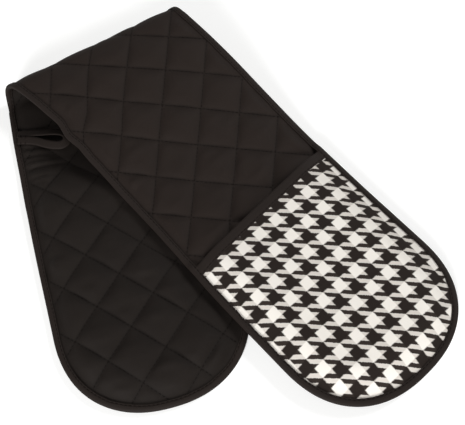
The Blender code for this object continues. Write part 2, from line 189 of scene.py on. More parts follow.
def linked(name, data):
    made = bpy.data.objects.new(name, data)
    bpy.context.scene.collection.objects.link(made)
    return made


def newPiece(name, points, faces):
    mesh = bpy.data.meshes.new(name)
    mesh.from_pydata(points.tolist(), [], faces)
    mesh.update()
    return linked(name, mesh)


# Outline of the flat strip

def widthAt(s):
    narrow = strip["halfWidth"] - strip["foldHalfWidth"]
    return strip["foldHalfWidth"] + narrow * ease(abs(s) / strip["widthRun"])


def swayAt(side, s):
    rise = ease((side * s - strip["swayRise"][0]) / strip["swayRise"][1])
    fall = ease((side * s - strip["swayFall"][0]) / strip["swayFall"][1])
    return strip["sway"][side] * rise * (1.0 - fall)


def fromFold(s, t):
    return s * cosSkew - t * sinSkew


def insetAt(side, s, t):
    # distance inside the strip's edge
    power, size, half = 2 / strip["endRound"][side], strip["endLength"], strip["halfWidth"]
    p = side * s - strip["length"][side] + size
    x, y = np.clip(p / size, tiny, None), np.clip(abs(t) / half, tiny, None)
    rho = (x ** power + y ** power) ** (1 / power)
    slope = np.hypot((x / rho) ** (power - 1) / size, (y / rho) ** (power - 1) / half)
    return np.where(p > 0, (1.0 - rho) / slope, widthAt(s) - abs(t))


def edgePoint(side, angle, inset):
    # a point this far inside the round end
    power = 2 / strip["endRound"][side]
    x = np.abs(np.cos(angle)) ** (2 / power)
    y = np.sign(np.sin(angle)) * np.abs(np.sin(angle)) ** (2 / power)
    nx = x ** (power - 1) / strip["endLength"]
    ny = np.sign(y) * np.abs(y) ** (power - 1) / strip["halfWidth"]
    size = np.hypot(nx, ny)
    p = strip["length"][side] - strip["endLength"] + x * strip["endLength"] - inset * nx / size
    return side * p, side * (y * strip["halfWidth"] - inset * ny / size)


search = {"edgeRounds": 4, "quiltRounds": 40, "stride": 0.8}


def foldEnd(edge, inset):
    # where the fold's middle line meets an edge of the strip
    t = edge * strip["foldHalfWidth"]
    for _ in range(search["edgeRounds"]):
        t = edge * (widthAt(t * sinSkew / cosSkew) - inset)
    return t * sinSkew / cosSkew, t


def edgeWalk(side, spacing):
    # stops along the whole edge of one half, from the fold and back to it: each has a kind, an
    # edge and a place on it, and stopPoint gives its flat point
    fine = np.linspace(-math.pi / 2, math.pi / 2, strip["endSamples"])
    x, y = edgePoint(side, fine, 0.0)
    length = np.concatenate(([0.0], np.cumsum(np.hypot(np.diff(x), np.diff(y)))))
    angles = np.interp(np.linspace(0, length[-1], round(length[-1] / spacing) + 1), length, fine)
    stops = []
    for edge in (-side, side):
        begin, end = side * foldEnd(edge, 0.0)[0], strip["length"][side] - strip["endLength"]
        runs = np.linspace(begin, end, round((end - begin) / spacing) + 1)[:-1]
        places = [("run", edge, side * p) for p in runs]
        stops.append(places if edge == -side else places[::-1])
    return stops[0] + [("cap", 0, angle) for angle in angles] + stops[1]


def stopPoint(side, stop, inset):
    kind, edge, value = stop
    if kind == "fold":
        return foldEnd(edge, inset)
    if kind == "cap":
        return edgePoint(side, value, inset)
    # sections are parallel to the fold near it, and square to the edge further on
    past = side * fromFold(value, edge * widthAt(value)) - foldArc / 2
    lean = 1.0 - ease(past / (2 * radius))
    s = value - lean * edge * inset * sinSkew / cosSkew
    return s, edge * (widthAt(s) - inset)


def mouthAt(side, t):
    return side * (strip["length"][side] - pocket["depth"]) + pocket["slope"][side] * t


# Quilting

def lattice(side, s, t):
    angle, pitch, (first, second) = quilt["angle"][side], quilt["pitch"][side], quilt["start"][side]
    u = (s * math.cos(angle) + t * math.sin(angle)) / pitch - first
    v = (t * math.cos(angle) - s * math.sin(angle)) / pitch - second
    return u, v


def quiltAt(side, s, t):
    # the stitch lines run where either coordinate is a whole number, across the fold too
    u, v = lattice(side, s, t)
    if side == front:
        return u, v
    frontU, frontV = lattice(front, s, t)
    u, v = u + quilt["joinShift"][0], v + quilt["joinShift"][1]
    share = ease(fromFold(s, t) / quilt["joinRun"] + 1.0)
    return u + share * (frontU - u), v + share * (frontV - v)


def quiltTurn(side, u, v):
    # a step in quilting coordinates, as a flat one
    pitch, cos, sin = quilt["pitch"][side], math.cos(quilt["angle"][side]), math.sin(quilt["angle"][side])
    return (u * cos - v * sin) * pitch, (u * sin + v * cos) * pitch


def quiltPlace(side, u, v):
    # the flat point with these quilting coordinates
    first, second = quilt["start"][side]
    s, t = quiltTurn(side, u + first, v + second)
    if side == back:
        for _ in range(search["quiltRounds"]):
            nowU, nowV = quiltAt(side, s, t)
            ds, dt = quiltTurn(side, search["stride"] * (u - nowU), search["stride"] * (v - nowV))
            s, t = s + ds, t + dt
    return s, t


relief = {
    "steps": 14,                      # mesh steps in each diamond
    "reach": 18,                      # diamonds each way
    "scale": 10.0,
    "margin": 0.004,
    "height": 0.0012,
    "pinInset": 0.0082,
    "edgeRun": 0.010,
    "lumps": (0.20, 0.012),           # depth and size
    "wrinkles": (0.50, 0.0075, 4),    # depth, size and how much longer across the strip
    "patches": (0.45, 0.050),         # where there are wrinkles: bias and size
    "seed": 7,
    "growth": (0.016, 0.004),         # how much too long and too wide the cloth is cut
    "frames": 30,
    "drawFrames": 12,
    "physics": {"quality": 6, "mass": 0.2, "air_damping": 1.0, "tension_stiffness": 20.0,
                "compression_stiffness": 20.0, "shear_stiffness": 12.0, "bending_stiffness": 3.0,
                "use_pressure": True, "uniform_pressure_force": 1.2},
    "crownRank": 90,                  # per cent of the heights that are below the one read as 1
    "limits": (-0.2, 1.25),
}


def plainPuff(u, v):
    crease = quilt["crease"]
    first, second = (np.sqrt(np.sin(math.pi * axis) ** 2 + crease ** 2) - crease for axis in (u, v))
    return np.sqrt(first * second) / (math.sqrt(1 + crease ** 2) - crease)


def startHeight(s, t, u, v, inset):
    # plain puffs with lumps in them, and patches of wrinkles that run across the strip
    seed, (bias, patch) = relief["seed"], relief["patches"]
    (lump, lumpSize), (depth, size, stretch) = relief["lumps"], relief["wrinkles"]
    height = relief["height"] * plainPuff(u, v) * ease((inset - relief["pinInset"]) / relief["edgeRun"])
    wrinkled = np.clip(softNoise(s, t, patch, seed + 2) + bias, 0.0, 1.0)
    wrinkles = softNoise(s, t / stretch, size, seed + 1) * wrinkled
    return height * (1 + lump * softNoise(s, t, lumpSize, seed) + depth * wrinkles)


def swell(sheet, pinned, cut, laid):
    # cloth cut a little too big for its frame of stitch lines, mostly along the strip, is drawn in
    # to it and blown up from below, until it swells and wrinkles
    sheet.data.vertices.foreach_set("co", cut.ravel())
    sheet.shape_key_add(name="cut")
    key = sheet.shape_key_add(name="laid")
    key.data.foreach_set("co", laid.ravel())
    group = sheet.vertex_groups.new(name="stitched")
    group.add([int(i) for i in np.flatnonzero(pinned)], 1.0, "REPLACE")
    cloth = sheet.modifiers.new("swelling", "CLOTH")
    cloth.settings.vertex_group_mass = group.name
    cloth.settings.effector_weights.gravity = 0.0
    for name, value in relief["physics"].items():
        setattr(cloth.settings, name, value)
    cloth.collision_settings.use_collision = False
    cloth.point_cache.frame_start, cloth.point_cache.frame_end = 1, relief["frames"]
    scene = bpy.context.scene
    for step in range(1, relief["frames"] + 1):
        key.value = min(1.0, (step - 1) / relief["drawFrames"])
        scene.frame_set(step)
    moved = sheet.evaluated_get(bpy.context.evaluated_depsgraph_get()).data
    points = np.zeros(len(moved.vertices) * 3)
    moved.vertices.foreach_get("co", points)
    scene.frame_set(1)
    bpy.data.objects.remove(sheet)
    return points.reshape(-1, 3)


def simulateRelief():
    # heights of the quilting's face over the whole flat strip, on a grid of quilting coordinates
    steps, scale = relief["steps"], relief["scale"]
    reach = relief["reach"] * steps
    index = np.arange(-reach, reach + 1)
    iu, iv = (axis.ravel() for axis in np.meshgrid(index, index, indexing="ij"))
    u, v = iu / steps, iv / steps
    s, t = quiltPlace(front, u, v)
    onBack = fromFold(s, t) < 0
    s[onBack], t[onBack] = quiltPlace(back, u[onBack], v[onBack])
    inset = np.zeros(len(s))
    for side in (front, back):
        here = onBack == (side == back)
        inset[here] = insetAt(side, s[here], t[here])
    inside = (inset > relief["margin"]) & (s < strip["length"][front]) & (s > -strip["length"][back])
    number = np.full(len(s), -1)
    number[inside] = np.arange(inside.sum())
    grid = number.reshape(len(index), len(index))
    quads = np.stack([grid[:-1, :-1], grid[1:, :-1], grid[1:, 1:], grid[:-1, 1:]], axis=-1).reshape(-1, 4)
    quads = quads[(quads >= 0).all(axis=1)]
    s, t, u, v, inset, iu, iv = (axis[inside] for axis in (s, t, u, v, inset, iu, iv))
    height = startHeight(s, t, u, v, inset)
    pinned = (iu % steps == 0) | (iv % steps == 0) | (inset < relief["pinInset"])
    sheet = newPiece("relief", np.stack([s, t, height], axis=1) * scale, quads.tolist())
    laid = np.stack([s, t, np.where(pinned, 0.0, height)], axis=1) * scale
    cut = laid * (1 + relief["growth"][0], 1 + relief["growth"][1], 1)
    height = swell(sheet, pinned, cut, laid)[:, 2] / scale
    ranks = np.percentile(height, (1, 50, 90, 99))
    print("relief", len(height), "points, heights in mm", np.round(ranks * 1000, 2))
    field = np.zeros(grid.shape)
    field[grid >= 0] = np.clip(height / np.percentile(height, relief["crownRank"]), *relief["limits"])
    return field, -reach


reliefField = simulateRelief()


def puffAt(side, s, t):
    # 0 on the stitch lines, about 1 on the crowns between them
    u, v = quiltAt(side, s, t)
    if reliefField is None:
        return plainPuff(u, v)
    field, low = reliefField
    x, y = u * relief["steps"] - low, v * relief["steps"] - low
    i, j = np.floor(x).astype(int), np.floor(y).astype(int)
    total = np.zeros_like(x)
    for k, columnShare in enumerate(cubicWeights(x - i)):
        for m, rowShare in enumerate(cubicWeights(y - j)):
            column = np.clip(i + k - 1, 0, field.shape[0] - 1)
            row = np.clip(j + m - 1, 0, field.shape[1] - 1)
            total += columnShare * rowShare * field[column, row]
    return np.clip(total, 0.0, None) ** quilt["steepness"]


def backPlan(s, t):
    t = t + swayAt(back, s)
    return t * sinFan - s * cosFan, t * cosFan + s * sinFan


def coverAt(s, t):
    # 1 where the front half lies over the back half, 0 where that shows
    return ease((backPlan(s, t)[1] + strip["halfWidth"] + lay["coverRamp"]) / lay["coverRamp"])


def lieAt(s):
    return ease((-s - lay["lieStart"]) / lay["lieRun"])


def edgeRise(side, s, t):
    return ease((insetAt(side, s, t) - squeezeInset) / layers["edgeRamp"])


def pressAt(side, s, t):
    return 1.0 if side == front else 1.0 - lay["press"] * coverAt(s, t) * lieAt(s)


loopFlat = {"s": -0.0920, "t": -0.0700, "radius": 0.0280, "ramp": 0.0170, "share": 0.5}


def flatAt(side, s, t):
    # the quilting is gathered flat round the hanging loop's seam
    if side == front:
        return 0.0
    distance = np.hypot(s - loopFlat["s"], t - loopFlat["t"])
    return loopFlat["share"] * (1.0 - ease((distance - loopFlat["radius"]) / loopFlat["ramp"]))


# Creases that run in from the binding beside the loop's seam: where each starts, how far it
# leans away from the fold for each unit inwards, its depth and its length
gathers = {
    "creases": [(-0.0935, 0.18, 0.0010, 0.026), (-0.1034, 0.15, 0.0013, 0.040),
                (-0.1115, 0.09, 0.0008, 0.030), (-0.1189, 0.07, 0.0021, 0.056),
                (-0.1304, 0.11, 0.0017, 0.036), (-0.1350, 0.26, 0.0010, 0.030)],
    "width": 0.0021,
    "edgeRun": 0.003,
    "bend": (0.0012, 0.013, 61),    # size, length and seed
    "ridge": (0.75, 2.2, 1.5),      # height, place and width, as shares of the valley's
}


def gatherAt(s, t):
    # a valley along each crease, with a broader ridge on its side towards the fold
    fromEdge = t + widthAt(s) - squeezeInset
    bend, bendLength, seed = gathers["bend"]
    ridge, ridgePlace, ridgeWidth = gathers["ridge"]
    total = np.zeros_like(s)
    for start, lean, depth, length in gathers["creases"]:
        wander = bend * softNoise(fromEdge, start, bendLength, seed)
        across = (s - start + lean * fromEdge + wander) / gathers["width"]
        fade = ease(fromEdge / gathers["edgeRun"]) * (1.0 - ease(fromEdge / length))
        raised = ridge * np.exp(-((across - ridgePlace) / ridgeWidth) ** 2)
        total += depth * fade * (raised - np.exp(-across ** 2))
    return total


def freeAt(side, s, t, level):
    # 1 where a face lies free, so that its crowns stand higher
    if side == front:
        lap, run = pocket["shade"]
        inPocket = ease((s - mouthAt(front, t) + lap) / run)
        lap, run = lay["pastFold"]
        pastFold = ease((fromFold(s, t) - foldArc / 2 + lap) / run)
        return (1.0 - inPocket) * pastFold if level > 0 else np.zeros_like(s)
    fromFront = -backPlan(s, t)[1] - strip["halfWidth"]
    return ease(fromFront / lay["freeRamp"]) if level < 0 else np.zeros_like(s)


def stripHalf(side, s, t, level):
    swelling = ease((insetAt(side, s, t) - squeezeInset) / quilt["edgeRun"]) * pressAt(side, s, t)
    fullness = 1.0 + (quilt["fullness"] - 1.0) * freeAt(side, s, t, level)
    swelling = (puffHalf - edgeHalf) * swelling * fullness
    swelling = swelling * (1.0 - quilt["foldLoss"] * (1.0 - ease(abs(fromFold(s, t)) / foldArc)))
    half = edgeHalf + swelling * puffAt(side, s, t) * (1.0 - flatAt(side, s, t))
    return np.maximum(half + gatherAt(s, t), edgeHalf / 2) if side == back and level < 0 else half


def quiltFace(side, s, t, level):
    # height of the quilt's upper or lower face over its middle
    size, length, seed = quilt["ripple"]
    return stripHalf(side, s, t, level) + size * softNoise(s, t, length, seed + level) * edgeRise(side, s, t)


def frontMiddle(s, t):
    pastEdge = s * sinFan + t * cosFan - strip["halfWidth"]
    lying = frontRest - lay["tilt"] * (pastEdge + lay["seat"])
    drop = ease((fromFold(s, t) - foldArc / 2) / lay["dropRun"])
    return foldTop + drop * (lying - foldTop)


def hollowAt(side, s, t):
    height = pocket["hollow"][side] * np.ones_like(s)
    if side == back:
        room = frontMiddle(*backPlan(s, t)) - puffHalf - lay["pressClearance"] - pressedStack
        height = height + coverAt(s, t) * (np.clip(room, 0.0, height) - height)
    else:
        height = height - pocket["mouthDip"] * (1.0 - ease((s - mouthAt(side, t)) / pocket["dipRun"]))
    return height * ease((insetAt(side, s, t) - squeezeInset) / pocket["hollowRamp"])


def mouthShare(side, s, t):
    inside = side * (s - mouthAt(side, t)) - pocket["bandWidth"] - layers["gap"]
    return np.clip(inside / pocket["pinchRamp"], 0.0, 1.0)


def pocketMiddle(side, s, t):
    swell = (puffHalf - edgeHalf) * pressAt(side, s, t) + pocketHalf - pocketEdgeHalf
    lowest = edgeHalf + layers["gap"] + pocketEdgeHalf
    lift = (bandHalf - pocketEdgeHalf) * (1.0 - mouthShare(side, s, t))
    return lowest + swell * edgeRise(side, s, t) + hollowAt(side, s, t) + lift


def pocketHalfAt(side, s, t):
    full = pocketEdgeHalf + (pocketHalf - pocketEdgeHalf) * edgeRise(side, s, t)
    return pinchedHalf + (full - pinchedHalf) * ease(mouthShare(side, s, t))


def backMiddle(s, t):
    outer = pocketMiddle(back, s, t) + pocketHalfAt(back, s, t)
    free = 1.0 - edgeRise(back, s, t) * mouthShare(back, s, t)
    return puffHalf + lieAt(s) * (outer + (wrap + layers["tape"] / 2) * free - puffHalf)


# How far the strip's near edge is drawn in, or let out where negative, by the distance past
# the fold's middle line
tuck = {
    "places": (-0.300, -0.200, -0.100, -0.055, -0.024, 0.0, 0.024, 0.045, 0.066, 0.076,
               0.084, 0.092, 0.098, 0.106, 0.112, 0.120, 0.144, 0.168, 0.213, 0.258, 0.300),
    "sizes": (0.0, -0.0010, -0.0013, -0.0026, -0.0026, -0.0020, 0.0034, 0.0064, 0.0078, 0.0090,
              0.0082, 0.0040, 0.0034, 0.0066, 0.0060, 0.0044, 0.0038, 0.0028, 0.0022, 0.0011, 0.0),
    "softness": 0.006,
    "start": 0.010,
}


def tuckAt(s, t):
    spread = tuck["softness"] * np.array([-1, 0, 1])
    past = fromFold(s, t)
    drawn = sum(np.interp(past + shift, tuck["places"], tuck["sizes"]) for shift in spread) / len(spread)
    drawn = drawn * ease((-t - tuck["start"]) / (strip["halfWidth"] - tuck["start"]))
    return np.stack([drawn * sinSkew, drawn * cosSkew, 0 * drawn], axis=-1)


def place(side, s, t, h):
    # where a point of the flat strip lies in the folded glove
    s, t, h = np.broadcast_arrays(*(np.asarray(value, float) for value in (s, t, h)))
    if side == front:
        flat = np.stack([s, t + swayAt(front, s), frontMiddle(s, t) + h], axis=-1)
    else:
        flat = np.stack([*backPlan(s, t), backMiddle(s, t) - h], axis=-1)
    turn = (fromFold(s, t) + foldArc / 2) / radius
    across = foldArc / 2 - (radius + h) * np.sin(turn)
    along = s * sinSkew + t * cosSkew
    z = puffHalf + radius - (radius + h) * np.cos(turn)
    bent = np.stack([across * cosSkew + along * sinSkew, along * cosSkew - across * sinSkew, z], axis=-1)
    inFold = (abs(fromFold(s, t)) < foldArc / 2)[..., None]
    return np.where(inFold, bent, flat) + foldMiddle + tuckAt(s, t)


# Mesh tools

weld = {"digits": 6, "distance": 1e-7}


def fillPlan(outline, lines, points):
    # triangles over a flat outline, through all the lines and points
    rows = [np.asarray(outline)] + [np.asarray(line) for line in lines]
    every = np.concatenate(rows + [np.asarray(points).reshape(-1, 2)])
    corners, index = np.unique(np.round(every, weld["digits"]), axis=0, return_inverse=True)
    index = index.ravel()
    edges, start = [], len(rows[0])
    for row in rows[1:]:
        chain = index[start:start + len(row)]
        edges += [(int(i), int(j)) for i, j in zip(chain, chain[1:]) if i != j]
        start += len(row)
    ring = [int(i) for i, j in zip(index[:len(rows[0])], np.roll(index[:len(rows[0])], -1)) if i != j]
    plan, _, triangles, *_ = delaunay_2d_cdt(corners.tolist(), edges, [ring], 1, weld["distance"])
    return np.array([tuple(point) for point in plan]), np.array(triangles)


def slab(plan, triangles, surface):
    # closed solid: surface(s, t, level) gives its top at level 1 and its bottom at level -1
    used, triangles = np.unique(triangles, return_inverse=True)
    triangles = triangles.reshape(-1, 3)
    s, t = plan[used].T
    count = len(used)
    points = np.concatenate([surface(s, t, 1), surface(s, t, -1)])
    sides = np.concatenate([triangles[:, [0, 1]], triangles[:, [1, 2]], triangles[:, [2, 0]]])
    known = set(map(tuple, sides.tolist()))
    rim = np.array([(i, j) for i, j in known if (j, i) not in known])
    walls = np.stack([rim[:, 1], rim[:, 0], rim[:, 0] + count, rim[:, 1] + count], axis=1)
    return points, plan[used], triangles, walls


def addUv(piece, name, values):
    # one pair of values per vertex, spread to the corners
    corner = np.zeros(len(piece.data.loops), int)
    piece.data.loops.foreach_get("vertex_index", corner)
    layer = piece.data.uv_layers.new(name=name)
    layer.data.foreach_set("uv", np.asarray(values, np.float32)[corner].ravel())


def smooth(piece, sharpFaces=()):
    # smooth shading, with a hard rim round the given faces
    mesh = piece.data
    mesh.polygons.foreach_set("use_smooth", np.ones(len(mesh.polygons), bool))
    if len(sharpFaces):
        rims = set()
        for index in sharpFaces:
            cornerCount = len(mesh.polygons[index].vertices)
            mesh.polygons[index].use_smooth = cornerCount <= 4    # a cap over a tape's end stays flat
            rims.update(mesh.polygons[index].edge_keys)
        mesh.attributes.new("sharp_edge", "BOOLEAN", "EDGE")
        keys = [tuple(sorted(edge.vertices)) in rims for edge in mesh.edges]
        mesh.attributes["sharp_edge"].data.foreach_set("value", keys)
    mesh.update()


def finishPiece(piece, body, materials):
    # "front" and "back" are bodies that the piece shares with the fold
    for material in materials:
        piece.data.materials.append(material)
    if body == "front":
        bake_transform(piece)
    elif body == "back":
        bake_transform(piece)
    else:
        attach(piece, body)
    print(piece.name, len(piece.data.polygons), "faces")


def paddedPiece(name, body, side, filled, height, pattern, materials):
    # closed solid over a filled plan: height(s, t, level) gives its faces, and pattern is the name
    # and the function of its second pair of coordinates
    def surface(s, t, level):
        points = place(side, s, t, height(s, t, level))
        points[:, 2] = np.maximum(points[:, 2], tableClear)
        return points

    points, flat, top, walls = slab(*filled, surface)
    if side == back:
        top, walls = top[:, ::-1], walls[:, ::-1]
    faces = top.tolist() + (top[:, ::-1] + len(flat)).tolist() + walls.tolist()
    piece = newPiece(name, points, faces)
    label, patternAt = pattern
    patternUv = np.stack(patternAt(*flat.T), axis=1)
    addUv(piece, "cloth", np.concatenate([flat, flat]))
    addUv(piece, label, np.concatenate([patternUv, patternUv]))
    smooth(piece, range(2 * len(top), len(faces)))
    finishPiece(piece, body, materials)
    piece.data.polygons.foreach_set("material_index", (np.arange(len(faces)) >= len(top)).astype(int))
    return piece


# Nodes

mixSockets = {"share": 0, "first": 6, "second": 7, "result": 2}


def setInputs(tree, node, inputs):
    # inputs by name or number, each a value or the socket that feeds it
    for key, value in dict(inputs).items():
        if isinstance(value, bpy.types.NodeSocket):
            tree.links.new(value, node.inputs[key])
        else:
            node.inputs[key].default_value = value


def addNode(tree, kind, inputs=(), **settings):
    node = tree.nodes.new(kind)
    for name, value in settings.items():
        setattr(node, name, value)
    setInputs(tree, node, inputs)
    return node


def mathNode(tree, operation, *values):
    return addNode(tree, "ShaderNodeMath", enumerate(values), operation=operation).outputs[0]


def clampNode(tree, value):
    return addNode(tree, "ShaderNodeClamp", {0: value}).outputs[0]


def mixColours(tree, share, first, second):
    inputs = {mixSockets["share"]: share}
    for label, colour in (("first", first), ("second", second)):
        inputs[mixSockets[label]] = (*colour, 1.0) if isinstance(colour, tuple) else colour
    return addNode(tree, "ShaderNodeMix", inputs, data_type="RGBA").outputs[mixSockets["result"]]


def uvNode(tree, name):
    return addNode(tree, "ShaderNodeUVMap", uv_map=name).outputs[0]


def splitNode(tree, vector):
    return addNode(tree, "ShaderNodeSeparateXYZ", {0: vector}).outputs


def noiseNode(tree, vector, scale, detail, stretch=(1.0, 1.0, 1.0)):
    mapped = addNode(tree, "ShaderNodeMapping", {"Vector": vector, "Scale": stretch}).outputs[0]
    inputs = {"Vector": mapped, "Scale": scale, "Detail": detail}
    return addNode(tree, "ShaderNodeTexNoise", inputs).outputs["Fac"]


def weaveHeight(tree, vector, width):
    # a plain weave: threads this wide go over and under each other in both directions
    turns = [mathNode(tree, "MULTIPLY", splitNode(tree, vector)[axis], math.pi / width) for axis in (0, 1)]
    return mathNode(tree, "MULTIPLY", *(mathNode(tree, "SINE", turn) for turn in turns))


def bumpNode(tree, height, strength, distance, before=None):
    inputs = {"Height": height, "Strength": strength, "Distance": distance}
    if before is not None:
        inputs["Normal"] = before
    return addNode(tree, "ShaderNodeBump", inputs).outputs[0]


def newMaterial(name):
    material = bpy.data.materials.new(name)
    material.use_nodes = True
    return material, material.node_tree, material.node_tree.nodes["Principled BSDF"]


# Cloths and thread

# how the cloth is darkened along the stitch lines: painted shade in the grooves, with the needle holes' own
# dark line
groove = {"core": 0.0001, "reach": 0.0026, "darkness": 0.34, "colour": (0.0030, 0.0022, 0.0018),
          "patch": 3.5, "patchShare": 0.6, "patchBase": 0.7}


def stitchLineShade(tree):
    # painted shade along the quilting's stitch grooves, with the needle holes' own dark line: strongest on
    # the stitch lines, 0 a little way off them
    split, pitch = splitNode(tree, uvNode(tree, "quilt")), quilt["pitch"][front]
    near = mathNode(tree, "MINIMUM", *(mathNode(tree, "PINGPONG", split[axis], 0.5) for axis in (0, 1)))
    fade = addNode(tree, "ShaderNodeMapRange",
                   {"Value": near, "From Min": groove["core"] / pitch, "From Max": groove["reach"] / pitch,
                    "To Min": 1.0, "To Max": 0.0}, interpolation_type="SMOOTHERSTEP").outputs["Result"]
    uneven = noiseNode(tree, uvNode(tree, "quilt"), groove["patch"], 1.0)
    uneven = mathNode(tree, "MULTIPLY_ADD", uneven, groove["patchShare"], groove["patchBase"])
    return mathNode(tree, "MULTIPLY", fade, mathNode(tree, "MULTIPLY", uneven, groove["darkness"]))


blackFinish = {
    # patches, fibres and slubs (which also stand out): scale, detail, share of the colour's change
    # and stretch
    "noises": [(22.0, 3.0, 0.5, (1.0, 1.0, 1.0)), (900.0, 2.0, 0.3, (1.0, 1.0, 1.0)),
               (260.0, 2.0, 0.2, (1.0, 9.0, 1.0))],
    "weaveBump": (0.35, 0.00012),
    "slubBump": (0.25, 0.0002),
    "sheenRoughness": 0.45,
    "sheenTint": (1.0, 0.93, 0.86, 1.0),
    "specular": 0.10,
}
blackCloths = {
    "outerCotton": {"dark": (0.0102, 0.0070, 0.0056), "light": (0.0142, 0.0097, 0.0078),
                    "thread": 0.00042, "sheen": 0.0, "roughness": 0.75, "quilted": True},
    # the inner face's cloth is the outer cloth's colours made darker: painted shade for the back half, whose
    # inner face shows
    "shadedInnerCotton": {"dark": (0.0069, 0.0050, 0.0040), "light": (0.0096, 0.0070, 0.0056),
                    "thread": 0.00042, "sheen": 0.0, "roughness": 0.75, "quilted": True},
    "bindingTape": {"dark": (0.0088, 0.0060, 0.0048), "light": (0.0140, 0.0100, 0.0082),
                    "thread": 0.00055, "sheen": 0.0, "roughness": 0.70, "quilted": False},
    "liningCotton": {"dark": (0.016, 0.0125, 0.0100), "light": (0.026, 0.0205, 0.0165),
                     "thread": 0.00042, "sheen": 0.08, "roughness": 0.8, "quilted": False},
}


def blackCloth(name):
    look = blackCloths[name]
    material, tree, surface = newMaterial(name)
    cloth = uvNode(tree, "cloth")
    mixed = 0.0
    for scale, detail, share, stretch in blackFinish["noises"]:
        noise = noiseNode(tree, cloth, scale, detail, stretch)
        mixed = mathNode(tree, "MULTIPLY_ADD", noise, share, mixed)
    colour = mixColours(tree, mixed, look["dark"], look["light"])
    if look["quilted"]:
        # painted shade darkens the cloth along the stitch grooves
        colour = mixColours(tree, stitchLineShade(tree), colour, groove["colour"])
    woven = bumpNode(tree, weaveHeight(tree, cloth, look["thread"]), *blackFinish["weaveBump"])
    slubbed = bumpNode(tree, noise, *blackFinish["slubBump"], woven)
    setInputs(tree, surface, {"Base Color": colour, "Normal": slubbed,
                              "Roughness": look["roughness"], "Sheen Weight": look["sheen"],
                              "Sheen Roughness": blackFinish["sheenRoughness"],
                              "Sheen Tint": blackFinish["sheenTint"],
                              "Specular IOR Level": blackFinish["specular"]})
    return material


outerCotton, shadedInnerCotton, bindingTape, liningCotton = (blackCloth(name) for name in blackCloths)

thread = {"colour": (0.0056, 0.0041, 0.0034, 1.0), "roughness": 0.9, "specular": 0.0}
blackThread, threadTree, surface = newMaterial("blackThread")
setInputs(threadTree, surface, {"Base Color": thread["colour"], "Roughness": thread["roughness"],
                                "Specular IOR Level": thread["specular"]})

houndstooth = {
    "light": (0.745, 0.710, 0.655),
    "grey": (0.57, 0.53, 0.485),
    "dark": (0.0135, 0.0095, 0.0076),
    "darkStreak": (0.024, 0.018, 0.015),
    "blur": 0.024,
    "wobble": (0.05, 0.05, 0.0),
    "wobbleScale": 14.0,
    "thread": 0.00060,
    "weaveBump": (0.4, 0.00015),
    "roughness": 0.85,
    "sheen": 0.03,
    "specular": 0.10,
}


def lightBand(tree, value):
    # 1 on the light half of each repeat, with a soft edge
    blur = houndstooth["blur"]
    past = mathNode(tree, "SUBTRACT", mathNode(tree, "PINGPONG", value, 0.5), 0.25 - blur)
    return clampNode(tree, mathNode(tree, "MULTIPLY", past, 0.5 / blur))


def checkCloth():
    # houndstooth: light and dark bands both ways, and diagonal streaks where they cross
    material, tree, surface = newMaterial("houndstoothCotton")
    check = uvNode(tree, "check")
    noise = addNode(tree, "ShaderNodeTexNoise",
                    {"Vector": check, "Scale": houndstooth["wobbleScale"], "Detail": 2.0}).outputs["Color"]
    drawn = addNode(tree, "ShaderNodeVectorMath", {0: noise, 1: houndstooth["wobble"], 2: check},
                    operation="MULTIPLY_ADD").outputs[0]
    u, v, _ = splitNode(tree, drawn)
    lightU, lightV = (lightBand(tree, mathNode(tree, "ADD", axis, 0.5)) for axis in (u, v))
    twill = lightBand(tree, mathNode(tree, "MULTIPLY_ADD", mathNode(tree, "ADD", u, v), 2.0, 0.25))
    chosen = addNode(tree, "ShaderNodeMix", {0: twill, 2: lightU, 3: lightV}).outputs[0]
    both = mathNode(tree, "MULTIPLY", lightU, lightV)
    darkU, darkV = (mathNode(tree, "SUBTRACT", 1.0, light) for light in (lightU, lightV))
    neither = mathNode(tree, "MULTIPLY", darkU, darkV)
    pale = mixColours(tree, both, houndstooth["grey"], houndstooth["light"])
    deep = mixColours(tree, neither, houndstooth["darkStreak"], houndstooth["dark"])
    weave = weaveHeight(tree, uvNode(tree, "cloth"), houndstooth["thread"])
    setInputs(tree, surface, {"Base Color": mixColours(tree, chosen, deep, pale),
                              "Normal": bumpNode(tree, weave, *houndstooth["weaveBump"]),
                              "Roughness": houndstooth["roughness"], "Sheen Weight": houndstooth["sheen"],
                              "Specular IOR Level": houndstooth["specular"]})
    return material


checkCotton = checkCloth()
print("cloths and thread")


# Stitches

stitch = {
    "length": 0.0031,
    "gap": 0.0010,
    "width": 0.00060,
    "depth": 0.00040,
    "lift": 0.00006,
    "segments": 6,
    "rings": 3,
    "least": (0.90, 0.92, 0.92),    # least and most of each stitch's size
    "most": (1.06, 1.08, 1.08),
    "seed": 11,
    "tracePoints": 12,              # points on each diamond's side
    "traceReach": 16,               # diamonds each way
}


